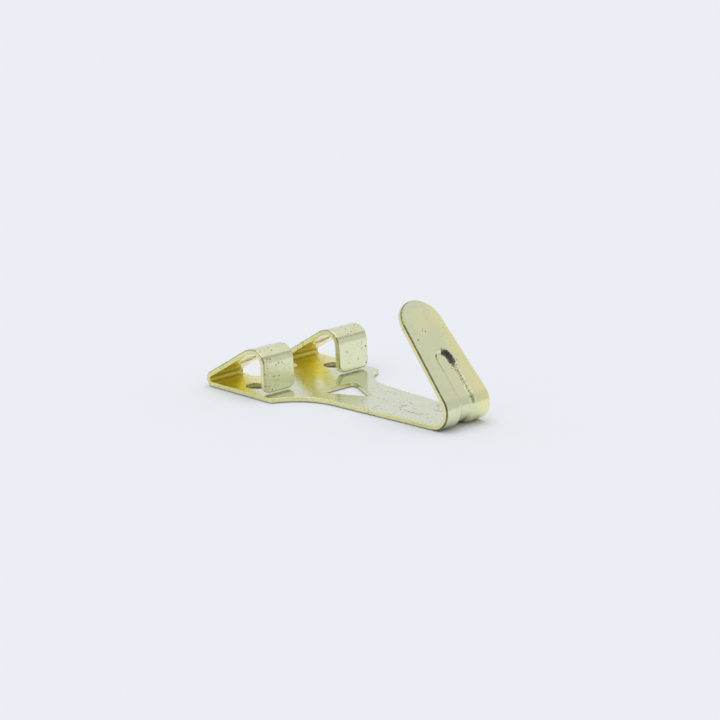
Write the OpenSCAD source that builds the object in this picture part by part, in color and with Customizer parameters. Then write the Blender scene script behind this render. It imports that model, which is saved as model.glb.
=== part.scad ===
// Two-nail picture hook, pressed and folded from one strip of brass-plated steel.
//
// The hook lies on the face that goes against the wall, z = 0. +X runs from the nail end to the
// hook's bend, which hangs lowest on the wall, +Y is to the right seen from the room, and +Z points
// into the room. The origin is the middle of the wall face's bounding rectangle.
//
// The strip is one physical piece. Each node is one formed region of it, cut at the lines where a
// flat meets a bend, and neighbouring nodes meet face to face.

/* [Sheet] */
// Thickness of the steel strip
sheet_t = 0.9; // [0.8:0.05:1]
// Overall length, from the nail folds to the outside of the hook's bend
overall_l = 49.2; // [48:0.2:54]

/* [Back plate] */
// Width across the two nail folds
head_w = 26; // [25.6:0.1:26.6]
// Width of the slot between the two nail folds
slot_w = 10.4; // [10:0.1:10.6]
// Depth of that slot, measured from the folds
slot_depth = 4.6; // [4.2:0.1:5.2]
// Radius of the slot's inner corners
slot_corner_r = 1.6; // [1:0.1:2]
// Radius of the two hollow sides that lead from the wide head to the narrow shank
waist_r = 9.2; // [8.8:0.1:9.6]
// X position of the centres of those hollow sides
waist_x = 0.2; // [0:0.1:1]
// Width of the shank where the hollow sides end
waist_w = 13; // [12.6:0.1:13.4]
// Angle at which each side of the shank tapers towards the bend
shank_taper = 3.45; // [3:0.05:4]

/* [Window] */
// X position of the straight base of the triangular window
window_base_x = -6.35; // [-6.8:0.05:-6]
// Length of the window's triangle before its corners are rounded
window_l = 9.15; // [8.6:0.05:9.4]
// Width of the window's triangle before its corners are rounded
window_w = 9.3; // [8.8:0.1:9.6]
// Radius of the window's corners
window_corner_r = 0.85; // [0.75:0.05:0.95]

/* [Nail loops] */
// Distance between the middles of the two nail loops
loop_pitch = 17.74; // [17.5:0.02:18]
// Width of each loop at its crest and front leg
loop_w = 7.1; // [6.5:0.1:7.3]
// Inside radius of the fold at the top edge
fold_ri = 0.5; // [0.4:0.05:0.6]
// Angle between the back plate and the ramp that rises from the fold
ramp_tilt = 32.5; // [31:0.1:33.5]
// Height of the crest above the wall
crest_h = 8.4; // [8.2:0.1:8.8]
// Inside radius of the crest
crest_ri = 1.7; // [1.6:0.05:1.8]
// Inside radius of the easier curve that leads from the ramp into the crest
ease_ri = 4.2; // [3.8:0.1:4.4]
// Angle through which that easier curve turns
ease_turn = 27.5; // [25:0.5:29]
// Angle at which the front leg leans out of upright
leg_lean = 4.5; // [3:0.5:6]
// Height of the front leg's free end above the wall
leg_gap = 1.25; // [1.1:0.05:1.6]
// Radius of the front leg's two lower corners
leg_corner_r = 1.4; // [1:0.1:1.8]

/* [Nail holes] */
// Radius of the guide hole in each ramp, where a nail goes in
guide_hole_r = 1.5; // [1.3:0.05:1.6]
// Distance of the guide hole from the start of the ramp
guide_hole_at = 5.9; // [5.5:0.1:6.3]
// Radius of the hole in the back plate, where the nail leaves into the wall
wall_hole_r = 1.8; // [1.7:0.05:2]
// X position of the holes in the back plate
wall_hole_x = -16.1; // [-16.5:0.1:-15.7]
// Distance between the holes in the back plate
wall_hole_pitch = 18.6; // [18:0.1:19]

/* [Hook] */
// Inside radius of the hook's bend
bend_ri = 2.45; // [2.3:0.05:2.6]
// Angle between the back plate and the hook's arm
arm_tilt = 47.8; // [46:0.1:50]
// Length of the arm from the bend to its tip
arm_l = 18.45; // [17.5:0.05:19]
// Radius of the arm's round tip
tip_r = 4.42; // [4.2:0.02:4.6]
// Width of the stiffening groove across the bend
rib_w = 4.2; // [3.8:0.1:4.4]
// Depth of the groove, and height of the ridge behind it
rib_d = 0.5; // [0.4:0.05:0.6]
// Length of the groove along the arm, to its round end
rib_arm_l = 9; // [8:0.1:10]

/* [Hidden] */
$fn = 96;
eps = 0.01;
brass = "#d8cd86";

// Shank and waist
head_hw = head_w/2;
waist_cy = waist_w/2 + waist_r;
shoulder_x = waist_x - sqrt(waist_r*waist_r - pow(waist_cy - head_hw, 2));
shank_x = waist_x - waist_r*sin(shank_taper);
shank_hw = waist_cy - waist_r*cos(shank_taper);

// Nail loops: the centre of the fold, the length of the ramp, and the centres of the two curves of
// the crest, which touch where the surface faces ease_from degrees above +X
fold_ro = fold_ri + sheet_t;
fold_x = -overall_l/2 + fold_ro;
fold_z = fold_ro;
slot_hw = slot_w/2;
crest_ro = crest_ri + sheet_t;
ease_ro = ease_ri + sheet_t;
ease_from = 90 + ramp_tilt - ease_turn;
crest_z = crest_h - crest_ro;
ease_z = crest_z - (ease_ro - crest_ro)*sin(ease_from);
ramp_l = (ease_z - fold_z + (ease_ro - fold_ro)*cos(ramp_tilt))/sin(ramp_tilt);
ease_x = fold_x + (ease_ro - fold_ro)*sin(ramp_tilt) + ramp_l*cos(ramp_tilt);
crest_x = ease_x + (ease_ro - crest_ro)*cos(ease_from);
loop_inner_y = (loop_pitch - loop_w)/2;
loop_outer_y = (loop_pitch + loop_w)/2;
leg_l = (crest_z + crest_ri*sin(leg_lean) - leg_gap)/cos(leg_lean);

// Hook: the centre of its bend and the width there
bend_ro = bend_ri + sheet_t;
bend_x = overall_l/2 - bend_ro;
bend_z = bend_ro;
bend_hw = shank_hw - (bend_x - shank_x)*tan(shank_taper);
bend_turn = 180 - arm_tilt;
tip_at = arm_l - tip_r;
arm_taper = acos(tip_r/norm([tip_at, bend_hw])) - atan2(tip_at, bend_hw);

// Stiffening groove: its section is a circle that cuts rib_d deep and rib_w wide
rib_r = (rib_w*rib_w/4 + rib_d*rib_d)/(2*rib_d);
rib_lift = rib_r - rib_d;
rib_ridge_r = rib_r + sheet_t;

// Points of a polygon grown outwards by r, for a shape whose corners are circles of radius r.
// Each edge from a to b moves along its own outward normal; the corners run anticlockwise.
function grown_edges(pts, r) = [
    for (i = [0:len(pts) - 1])
        let (a = pts[i], b = pts[(i + 1) % len(pts)], out = [b.y - a.y, a.x - b.x]/norm(b - a))
            each [a + r*out, b + r*out]
];

// A flat shape with every corner rounded; pts are the centres of the corners
module rounded_polygon(pts, r) {
    polygon(grown_edges(pts, r));
    for (p = pts)
        translate(p) circle(r);
}

// The strip bent about an axis along Y: angles run from +X towards +Z, widths from y0 to y1
module bent_strip(ri, from, to, y0, y1)
    rotate([90, 0, 0])
        rotate([0, 0, from])
            rotate_extrude(angle = to - from)
                translate([ri, -y1])
                    square([sheet_t, y1 - y0]);

// A flat sector of the strip's edge, bent about the origin from angle from to angle to
module strip_sector(ri, from, to)
    intersection() {
        difference() {
            circle(ri + sheet_t);
            circle(ri);
        }
        polygon([[0, 0], for (a = [from, (from + to)/2, to]) 2*(ri + sheet_t)*[cos(a), sin(a)]]);
    }

// A straight run of the strip's groove or ridge: a rod of radius r along X with a round end
module rib_rod(r, l) {
    rotate([0, 90, 0]) cylinder(r = r, h = l);
    translate([l, 0, 0]) sphere(r);
}

// Outline of the back plate: the wide head, the hollow waist and the tapering shank
module plate_outline()
    difference() {
        polygon([[fold_x, -head_hw], [shoulder_x, -head_hw], [shank_x, -shank_hw], [bend_x, -bend_hw],
                 [bend_x, bend_hw], [shank_x, shank_hw], [shoulder_x, head_hw], [fold_x, head_hw]]);
        for (side = [-1, 1])
            translate([waist_x, side*waist_cy]) circle(waist_r);
    }

// The slot between the two folds, open towards -X
module slot_outline()
    rounded_polygon([for (p = [[-overall_l, -1], [-overall_l/2 + slot_depth - slot_corner_r, -1],
                               [-overall_l/2 + slot_depth - slot_corner_r, 1], [-overall_l, 1]])
                        [p.x, p.y*(slot_hw - slot_corner_r)]], slot_corner_r);

// The triangular window, its base towards the nail loops and its point towards the bend
module window_outline() {
    side_l = norm([window_l, window_w/2]);
    base_y = window_w/2 - window_corner_r*(side_l + window_w/2)/window_l;
    point_x = window_base_x + window_l - window_corner_r*side_l/(window_w/2);
    base_x = window_base_x + window_corner_r;
    rounded_polygon([[base_x, -base_y], [point_x, 0], [base_x, base_y]], window_corner_r);
}

module back_plate()
    color(brass)
        difference() {
            union() {
                linear_extrude(sheet_t)
                    difference() {
                        plate_outline();
                        slot_outline();
                        window_outline();
                    }
                intersection() {
                    translate([bend_x, 0, -rib_lift]) mirror([1, 0, 0]) rib_rod(rib_ridge_r, eps);
                    translate([bend_x - rib_w, -rib_w, 0]) cube([rib_w, 2*rib_w, sheet_t + rib_d]);
                }
            }
            translate([bend_x, 0, -rib_lift]) mirror([1, 0, 0]) sphere(rib_r);
            for (side = [-1, 1])
                translate([wall_hole_x, side*wall_hole_pitch/2, -eps])
                    cylinder(r = wall_hole_r, h = sheet_t + 2*eps);
        }

module hook_bend()
    color(brass)
        translate([bend_x, 0, bend_z])
            rotate([90, 0, 0])
                rotate([0, 0, -90])
                    rotate_extrude(angle = bend_turn)
                        difference() {
                            union() {
                                translate([bend_ri, -bend_hw]) square([sheet_t, 2*bend_hw]);
                                intersection() {
                                    translate([bend_ro + rib_lift, 0]) circle(rib_ridge_r);
                                    translate([bend_ri - rib_d, -rib_w]) square([rib_d + sheet_t, 2*rib_w]);
                                }
                            }
                            translate([bend_ro + rib_lift, 0]) circle(rib_r);
                        }

// Drawn along +X with its inner face up, then turned back over the plate
module hook_arm()
    color(brass)
        translate([bend_x, 0, bend_z])
            rotate([0, -bend_turn, 0])
                translate([0, 0, -bend_ro])
                    difference() {
                        union() {
                            linear_extrude(sheet_t) {
                                shoulder = [tip_at + tip_r*sin(arm_taper), tip_r*cos(arm_taper)];
                                polygon([[0, -bend_hw], [shoulder.x, -shoulder.y], shoulder, [0, bend_hw]]);
                                translate([tip_at, 0]) circle(tip_r);
                            }
                            intersection() {
                                translate([0, 0, -rib_lift]) rib_rod(rib_ridge_r, rib_arm_l - rib_w/2);
                                translate([0, -rib_w, 0]) cube([rib_arm_l + rib_w, 2*rib_w, sheet_t + rib_d]);
                            }
                        }
                        translate([-eps, 0, -rib_lift]) rib_rod(rib_r, rib_arm_l - rib_w/2 + eps);
                    }

// side is -1 for the left loop and 1 for the right one
module nail_fold(side)
    color(brass)
        mirror([0, side < 0 ? 1 : 0, 0])
            translate([fold_x, 0, fold_z])
                bent_strip(fold_ri, 90 + ramp_tilt, 270, slot_hw, head_hw);

module nail_ramp(side)
    color(brass)
        mirror([0, side < 0 ? 1 : 0, 0])
            translate([fold_x, 0, fold_z])
                rotate([0, -ramp_tilt, 0])
                    translate([0, 0, fold_ri])
                        difference() {
                            linear_extrude(sheet_t)
                                polygon([[0, slot_hw], [ramp_l, loop_inner_y],
                                         [ramp_l, loop_outer_y], [0, head_hw]]);
                            translate([guide_hole_at, loop_pitch/2, -eps])
                                cylinder(r = guide_hole_r, h = sheet_t + 2*eps);
                        }

module nail_crest(side)
    color(brass)
        mirror([0, side < 0 ? 1 : 0, 0])
            translate([0, loop_outer_y, 0])
                rotate([90, 0, 0])
                    linear_extrude(loop_w) {
                        translate([ease_x, ease_z]) strip_sector(ease_ri, ease_from, 90 + ramp_tilt);
                        translate([crest_x, crest_z]) strip_sector(crest_ri, leg_lean, ease_from);
                    }

module nail_leg(side)
    color(brass)
        mirror([0, side < 0 ? 1 : 0, 0])
            translate([crest_x, 0, crest_z])
                rotate([0, 90 - leg_lean, 0])
                    translate([0, 0, crest_ri])
                        linear_extrude(sheet_t)
                            difference() {
                                translate([0, loop_inner_y]) square([leg_l, loop_w]);
                                for (edge = [-1, 1])
                                    translate([leg_l, loop_pitch/2 + edge*loop_w/2])
                                        difference() {
                                            square(2*leg_corner_r, center = true);
                                            translate([-1, -edge]*leg_corner_r) circle(leg_corner_r);
                                        }
                            }

back_plate();
hook_bend();
hook_arm();
nail_fold(-1);  // left_nail_fold
nail_ramp(-1);  // left_nail_ramp
nail_crest(-1);  // left_nail_crest
nail_leg(-1);  // left_nail_leg
nail_fold(1);  // right_nail_fold
nail_ramp(1);  // right_nail_ramp
nail_crest(1);  // right_nail_crest
nail_leg(1);  // right_nail_leg
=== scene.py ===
"""Two-nail picture hook, pressed and folded from one strip of brass-plated steel.

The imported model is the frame. Four closed pieces stand for its nodes: the back plate, the hook (its bend
and arm) and the two nail loops (fold, ramp, crest and front leg). Every piece is a strip of constant
thickness, so each surface is worked out in strip coordinates and then bent into place:
  s  distance along the strip, v  distance across it, n  depth below its outer face, all in millimetres.
The outer face is the one that lies on the wall, and that looks at the room on the arm and the nail loops.
"""

import math

import bpy
import bmesh
import numpy as np
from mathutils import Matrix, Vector
from mathutils.geometry import delaunay_2d_cdt


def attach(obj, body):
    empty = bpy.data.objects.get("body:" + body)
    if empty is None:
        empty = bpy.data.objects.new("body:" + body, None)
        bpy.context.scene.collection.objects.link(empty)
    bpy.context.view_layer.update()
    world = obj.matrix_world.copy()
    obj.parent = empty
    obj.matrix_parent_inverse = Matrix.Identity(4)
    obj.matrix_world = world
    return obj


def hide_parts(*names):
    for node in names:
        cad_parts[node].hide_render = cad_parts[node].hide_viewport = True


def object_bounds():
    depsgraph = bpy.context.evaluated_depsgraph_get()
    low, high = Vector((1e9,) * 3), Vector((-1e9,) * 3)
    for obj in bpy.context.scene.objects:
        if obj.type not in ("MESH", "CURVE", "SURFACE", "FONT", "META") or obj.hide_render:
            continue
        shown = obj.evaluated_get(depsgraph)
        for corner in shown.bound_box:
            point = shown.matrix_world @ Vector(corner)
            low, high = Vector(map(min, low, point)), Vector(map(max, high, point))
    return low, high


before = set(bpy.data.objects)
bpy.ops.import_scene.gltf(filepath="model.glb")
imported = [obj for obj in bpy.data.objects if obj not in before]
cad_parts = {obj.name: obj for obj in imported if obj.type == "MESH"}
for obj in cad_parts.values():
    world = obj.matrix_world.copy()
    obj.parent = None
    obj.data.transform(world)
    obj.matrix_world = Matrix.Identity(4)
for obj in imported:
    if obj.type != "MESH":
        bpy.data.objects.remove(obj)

CAD_LOW, CAD_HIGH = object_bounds()
MM = 0.001
WELD = 0.002 * MM

# Strip
SHEET = 0.9
OVERALL_L = (CAD_HIGH.x - CAD_LOW.x) / MM
ROLL_R = 0.28           # soft edge that the punch leaves on the outer face
BURR_R = 0.07           # crisp edge on the inner face
RIM_STEPS = 6           # facets round the soft edge
BURR_STEPS = 3          # facets round the crisp edge
WALL_STATIONS = (0.45, 0.65)    # down the sheared wall, as shares of the sheet
FLAT_MARGIN = 0.05      # flat band that keeps the faces' shading level beside the rim
SHARP_EDGE = math.radians(38)   # faces that meet at more than this keep a crisp edge

# Back plate
HEAD_HW = (CAD_HIGH.y - CAD_LOW.y) / MM / 2
SLOT_HW = 5.2
SLOT_DEPTH = 4.6
SLOT_CORNER_R = 1.6
WAIST_R = 9.2
WAIST_X = 0.2
WAIST_HW = 6.5
SHOULDER_EASE = 0.5     # how far the soft corner between head and waist reaches along each
SHANK_TAPER = math.radians(3.45)
WINDOW_BASE_X = -6.35
WINDOW_L = 9.15
WINDOW_W = 9.3
WINDOW_CORNER_R = 0.85
WALL_HOLE_R = 1.8
WALL_HOLE_X = -16.1
WALL_HOLE_Y = 9.3
FINE_FROM = 0.12        # the faces get finer triangles between these distances from the bend,
FINE_TO = 2.6           # where the groove starts

# Nail loops
LOOP_MID = 8.87
LOOP_HW = 3.55
FOLD_RI = 0.5
FOLD_FROM = 1.5 * math.pi       # the outward normal's angle where the fold leaves the plate
RAMP_TILT = math.radians(32.5)
CREST_H = 8.4
CREST_RI = 1.7
EASE_RI = 4.2
EASE_TURN = math.radians(27.5)
LEG_LEAN = math.radians(4.5)
LEG_GAP = 1.08
LEG_CORNER_R = 1.4
CREASE_AT = math.radians(39)    # where the press left a fine crease across the crest
CREASE_H = 0.08
CREASE_W = 0.16
CREASE_SHADE = 0.6      # the painted shade line just under the crease: strength, distance from it, width
CREASE_SHADE_AT = 0.24
CREASE_SHADE_W = 0.15
GUIDE_HOLE_R = 1.5
GUIDE_HOLE_AT = 5.9
GUIDE_BLOCK_MARGIN = 0.45       # from the guide hole to the border of its block of the grid
LOOP_COLUMNS = 40

# Hook
BEND_RI = 2.45
ARM_TILT = math.radians(47.8)
ARM_L = 18.45
TIP_R = 4.42
GROOVE_HW = 2.0         # half width of the stiffening groove at the face
GROOVE_FLOOR_HW = 0.95  # half width of its nearly flat floor
GROOVE_D = 0.5
GROOVE_ARM_L = 9.0
HOOK_COLUMNS = 96
RIGHT_RUB_AND_SHADE = 0.35        # share of the rolled edge's rub and painted shade that the right edge has; the left edge has all of it

# Painted shade on the groove's right wall, over a ragged bump
TORN_SHADE_REACH = 1.25       # from the wall's middle, in half widths of the wall
TORN_SHADE_RIGHT_OF = 0.35
TORN_SHADE_FROM = 0.9         # share of the bend after which the wall gets its painted shade
TORN_SHADE_RISE_PAST = 1.2    # the rise along the wall ends this far past the groove's end
TORN_SHADE_LOW = 0.75
TORN_SHADE_RISE = 0.15
TORN_SHADE_CORNER = 6.0
TORN_SHADE_CORNER_S = 0.2     # centre of the torn corner, s counted from the groove's end
TORN_SHADE_CORNER_V = 1.25
TORN_SHADE_CORNER_R = 1.7
TORN_SHADE_CORNER_FADE = 0.8

# Derived places, worked out as the frame's own nodes are
WAIST_CY = WAIST_HW + WAIST_R
SHOULDER_X = WAIST_X - math.sqrt(WAIST_R**2 - (WAIST_CY - HEAD_HW) ** 2)
SHANK_X = WAIST_X - WAIST_R * math.sin(SHANK_TAPER)
SHANK_HW = WAIST_CY - WAIST_R * math.cos(SHANK_TAPER)
FOLD_RO = FOLD_RI + SHEET
FOLD_X = -OVERALL_L / 2 + FOLD_RO
CREST_RO = CREST_RI + SHEET
EASE_RO = EASE_RI + SHEET
EASE_FROM = math.pi / 2 + RAMP_TILT - EASE_TURN
CREST_Z = CREST_H - CREST_RO
EASE_Z = CREST_Z - (EASE_RO - CREST_RO) * math.sin(EASE_FROM)
RAMP_L = (EASE_Z - FOLD_RO + (EASE_RO - FOLD_RO) * math.cos(RAMP_TILT)) / math.sin(RAMP_TILT)
EASE_X = FOLD_X + (EASE_RO - FOLD_RO) * math.sin(RAMP_TILT) + RAMP_L * math.cos(RAMP_TILT)
CREST_X = EASE_X + (EASE_RO - CREST_RO) * math.cos(EASE_FROM)
LEG_L = (CREST_Z + CREST_RI * math.sin(LEG_LEAN) - LEG_GAP) / math.cos(LEG_LEAN)
BEND_RO = BEND_RI + SHEET
BEND_X = OVERALL_L / 2 - BEND_RO
BEND_HW = SHANK_HW - (BEND_X - SHANK_X) * math.tan(SHANK_TAPER)
BEND_TURN = math.pi - ARM_TILT
TIP_AT = ARM_L - TIP_R
ARM_TAPER = math.acos(TIP_R / math.hypot(TIP_AT, BEND_HW)) - math.atan2(TIP_AT, BEND_HW)
FOLD_AXIS = (FOLD_X * MM, 0, FOLD_RO * MM)
RAMP_NORMAL = (-math.sin(RAMP_TILT), 0, math.cos(RAMP_TILT))


# ---------------------------------------------------------------- strip shapes

def rim_profile():
    """The free edge's section from the outer face to the inner one, as pairs (inset, depth).
    A quarter circle of radius ROLL_R, a straight sheared wall, a quarter circle of radius BURR_R, and a
    flat margin at each end: inset = R (1 - sin a), depth = R (1 - cos a) for a from 0 to 90 degrees."""
    a = np.linspace(0, math.pi / 2, RIM_STEPS + 1)
    roll = np.stack([ROLL_R * (1 - np.sin(a)), ROLL_R * (1 - np.cos(a))], 1)
    wall = np.array([[0, SHEET * share] for share in WALL_STATIONS])
    b = np.linspace(math.pi / 2, 0, BURR_STEPS + 1)
    burr = np.stack([BURR_R * (1 - np.sin(b)), SHEET - BURR_R * (1 - np.cos(b))], 1)
    margin = ROLL_R + FLAT_MARGIN
    return np.concatenate([[[margin, 0]], roll, wall, burr, [[margin, SHEET]]])


RIM = rim_profile()
# 1 at the stations on the sheared wall, and at those on the rolled edge; 0 at the others
RIM_CUT = ((RIM[:, 0] < 0.4 * BURR_R) & (RIM[:, 1] > 0.8 * ROLL_R)).astype(float)
RIM_ROLL = ((RIM[:, 0] < 0.8 * ROLL_R) & (RIM[:, 1] < 0.9 * ROLL_R)).astype(float)
# masks: the cut edge; the rolled edge's rub and painted shade, with the painted shade line under each
# crease; the painted shade on the groove's right wall
MASKS = ("cut_edge", "rolled_edge_rub_and_shade", "torn_wall_shade")
RIM_MASKS = np.stack([RIM_CUT, RIM_ROLL, 0 * RIM_CUT], 1)
NO_MASK = np.zeros(len(MASKS))


def smooth_step(x):
    """0 below 0, 1 above 1, and 3 x^2 - 2 x^3 between."""
    x = np.clip(x, 0, 1)
    return x * x * (3 - 2 * x)


def groove_depth(s, v, end):
    """Depth of the stiffening groove at (s, v): full over its floor, easing to nothing at its sides.
    The distance r is |v| along the groove and is measured from the centre of a round end before 0 and
    past end; depth = GROOVE_D (1 - smooth_step((r - floor) / (side - floor)))."""
    past = np.maximum(np.maximum(-s, s - end), 0)
    r = np.hypot(past, v)
    return GROOVE_D * (1 - smooth_step((r - GROOVE_FLOOR_HW) / (GROOVE_HW - GROOVE_FLOOR_HW)))


class Path:
    """The strip's outer face seen from the side: straight runs and arcs in the X-Z plane, end to end.
    A run says where it starts (s), the angle a of the outer face's outward normal there, and, if it is
    straight, its first outer point (x, z) and its direction (tx, tz); if it is an arc, its centre (x, z),
    its outer radius r and the turn per millimetre. An arc's outer point is centre + r (cos a, sin a)."""

    def __init__(self, runs):
        self.runs = runs

    def place(self, s, v, n):
        """(s, v, n) to metres: the outer point of s moved by n against the outward normal, at y = v."""
        x, z = np.zeros_like(s), np.zeros_like(s)
        for i, run in enumerate(self.runs):
            here = np.ones_like(s, bool)
            if i > 0:
                here &= s >= run["s"]
            if i + 1 < len(self.runs):
                here &= s < self.runs[i + 1]["s"]
            d = s[here] - run["s"]
            if run["kind"] == "line":
                nx, nz = math.cos(run["a"]), math.sin(run["a"])
                x[here] = run["x"] + d * run["tx"] - n[here] * nx
                z[here] = run["z"] + d * run["tz"] - n[here] * nz
            else:
                a = run["a"] + d * run["rate"]
                x[here] = run["x"] + (run["r"] - n[here]) * np.cos(a)
                z[here] = run["z"] + (run["r"] - n[here]) * np.sin(a)
        return np.stack([x, v, z], -1) * MM


def line_run(s, x, z, a, turn):
    """A straight run from the outer point (x, z) whose outward normal has angle a; turn is 1 where the
    strip bends anticlockwise and -1 where it bends clockwise."""
    tx, tz = -turn * math.sin(a), turn * math.cos(a)
    return {"kind": "line", "s": s, "x": x, "z": z, "a": a, "tx": tx, "tz": tz}


def arc_run(s, cx, cz, r, a, turn):
    """An arc of outer radius r about (cx, cz) from angle a, s measured along the strip's middle."""
    return {"kind": "arc", "s": s, "x": cx, "z": cz, "a": a, "r": r, "rate": turn / (r - SHEET / 2)}


def strip_grid(s, low, high, columns, depth):
    """Strip coordinates of a piece's skin, as one grid of stations along it by a closed ring across it.
    low and high are the two free edges: arrays of v, and of each edge's outward normal (ns, nv). Every
    point is edge - inset * normal. Columns share out each face evenly between its two inset edges. The
    whole ring is then moved inwards by depth(s, v)."""
    share = np.linspace(0, 1, columns + 1)[None, :]

    def edge_points(edge):
        v, ns, nv = edge
        return s[:, None] - RIM[None, :, 0] * ns[:, None], v[:, None] - RIM[None, :, 0] * nv[:, None]

    ls, lv = edge_points(low)
    hs, hv = edge_points(high)
    face_s = ls[:, :1] * (1 - share) + hs[:, :1] * share
    face_v = lv[:, :1] * (1 - share) + hv[:, :1] * share
    depth_row = np.broadcast_to(RIM[:, 1], ls.shape)
    ring_s = np.concatenate([face_s, hs[:, 1:-1], face_s[:, ::-1], ls[:, -2:0:-1]], 1)
    ring_v = np.concatenate([face_v, hv[:, 1:-1], face_v[:, ::-1], lv[:, -2:0:-1]], 1)
    level = 0 * face_s
    ring_n = np.concatenate([level, depth_row[:, 1:-1], level + SHEET, depth_row[:, -2:0:-1]], 1)
    plain = np.zeros((columns + 1, len(MASKS)))
    rim = np.concatenate([plain, RIM_MASKS[1:-1], plain, RIM_MASKS[-2:0:-1]])
    masks = np.broadcast_to(rim, ring_s.shape + (len(MASKS),))
    return ring_s, ring_v, ring_n + depth(ring_s, ring_v), masks


def end_grid(s_end, low_v, high_v, columns):
    """Strip coordinates of the rim along the strip's square end: columns by the rim's section."""
    share = np.linspace(0, 1, columns + 1)[:, None]
    v = (low_v * (1 - share) + high_v * share) + 0 * RIM[None, :, 0]
    s = s_end - RIM[None, :, 0] + 0 * v
    n = RIM[None, :, 1] + 0 * v
    return s, v, n, np.broadcast_to(RIM_MASKS, v.shape + (len(MASKS),))


class Skin:
    """Gathers grids of points into one welded, closed mesh."""

    def __init__(self):
        self.points, self.masks, self.faces, self.caps, self.count = [], [], [], [], 0

    def add_points(self, points, masks=NO_MASK):
        """Keeps the points with their masks, and gives their numbers in the same arrangement."""
        start = self.count
        self.points.append(points.reshape(-1, 3))
        self.masks.append(np.broadcast_to(masks, points.shape).reshape(-1, 3))
        self.count += self.points[-1].shape[0]
        return start + np.arange(self.points[-1].shape[0]).reshape(points.shape[:-1])

    def add_grid(self, points, masks, closed=False, keep=None):
        """Quads between neighbouring rows and columns; closed joins the last column to the first, and keep
        is a mask of the quads that stay."""
        index = self.add_points(points, masks)
        if closed:
            index = np.concatenate([index, index[:, :1]], 1)
        quads = np.stack([index[:-1, :-1], index[1:, :-1], index[1:, 1:], index[:-1, 1:]], -1)
        self.faces.append(quads[keep] if keep is not None else quads.reshape(-1, 4))

    def add_cap(self, points):
        """One flat face round a closed ring of points."""
        self.caps.append(self.add_points(points).reshape(-1))

    def build(self, name):
        """The welded mesh as an object, its faces turned outwards and shaded smooth up to SHARP_EDGE."""
        points, masks = np.concatenate(self.points), np.concatenate(self.masks)
        faces = [f for block in self.faces for f in block.tolist()] + [c.tolist() for c in self.caps]
        mesh = bpy.data.meshes.new(name)
        mesh.from_pydata(points, [], faces)
        for label, values in zip(MASKS, masks.T):
            attribute = mesh.attributes.new(label, "FLOAT", "POINT")
            attribute.data.foreach_set("value", values.astype(np.float32))
        bm = bmesh.new()
        bm.from_mesh(mesh)
        bmesh.ops.remove_doubles(bm, verts=bm.verts, dist=WELD)
        bmesh.ops.recalc_face_normals(bm, faces=bm.faces)
        open_edges = sum(not e.is_manifold for e in bm.edges)
        volume = bm.calc_volume() / MM**3
        bm.to_mesh(mesh)
        bm.free()
        mesh.polygons.foreach_set("use_smooth", np.ones(len(mesh.polygons), bool))
        mesh.set_sharp_from_angle(angle=SHARP_EDGE)
        mesh.update()
        print(f"{name}: {len(mesh.polygons)} faces, {open_edges} open edges, {volume:.1f} mm3")
        obj = bpy.data.objects.new(name, mesh)
        bpy.context.scene.collection.objects.link(obj)
        return obj


# ---------------------------------------------------------------- back plate

def arc_points(cx, cy, r, start, stop, count):
    """Points of a circle arc: centre + r (cos a, sin a), a shared out evenly from start to stop."""
    a = np.linspace(start, stop, count)
    return np.stack([cx + r * np.cos(a), cy + r * np.sin(a)], 1)


def line_points(a, b, count):
    """Points shared out evenly from a to b, both ends included."""
    t = np.linspace(0, 1, count)[:, None]
    return np.array(a) * (1 - t) + np.array(b) * t


def soft_corner(a, corner, b, count=9):
    """A corner eased by a parabola: (1-t)^2 a + 2 t (1-t) corner + t^2 b."""
    t = np.linspace(0, 1, count)[:, None]
    return (1 - t) ** 2 * np.array(a) + 2 * t * (1 - t) * np.array(corner) + t**2 * np.array(b)


def edge_normals(points, closed):
    """The unit normal to the right of each point's direction of travel, from its two neighbours."""
    if closed:
        ahead, behind = np.roll(points, -1, 0), np.roll(points, 1, 0)
    else:
        ahead = np.concatenate([points[1:], points[-1:]])
        behind = np.concatenate([points[:1], points[:-1]])
    d = ahead - behind
    d /= np.linalg.norm(d, axis=1, keepdims=True)
    return np.stack([d[:, 1], -d[:, 0]], 1)


def side_outline():
    """The plate's left free edge from the fold to the bend: head, eased shoulder, hollow waist, shank."""
    tangent = math.atan2(WAIST_CY - HEAD_HW, SHOULDER_X - WAIST_X)
    after = tangent - SHOULDER_EASE / WAIST_R
    corner = (SHOULDER_X, -HEAD_HW)
    on_waist = (WAIST_X + WAIST_R * math.cos(after), -WAIST_CY + WAIST_R * math.sin(after))
    shank_from = math.pi / 2 + SHANK_TAPER
    on_head = (SHOULDER_X - SHOULDER_EASE, -HEAD_HW)
    return np.concatenate([
        line_points((FOLD_X, -HEAD_HW), on_head, 30)[:-1],
        soft_corner(on_head, corner, on_waist)[:-1],
        arc_points(WAIST_X, -WAIST_CY, WAIST_R, after, shank_from, 60)[:-1],
        line_points((SHANK_X, -SHANK_HW), (BEND_X, -BEND_HW), 50),
    ])


def slot_outline():
    """The slot's free edge from the right fold round its inner end to the left fold."""
    end_x = -OVERALL_L / 2 + SLOT_DEPTH
    cx, cy, r = end_x - SLOT_CORNER_R, SLOT_HW - SLOT_CORNER_R, SLOT_CORNER_R
    return np.concatenate([
        line_points((FOLD_X, SLOT_HW), (cx, SLOT_HW), 5)[:-1],
        arc_points(cx, cy, r, math.pi / 2, 0, 17)[:-1],
        line_points((end_x, cy), (end_x, -cy), 16)[:-1],
        arc_points(cx, -cy, r, 0, -math.pi / 2, 17)[:-1],
        line_points((cx, -SLOT_HW), (FOLD_X, -SLOT_HW), 5),
    ])


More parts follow.
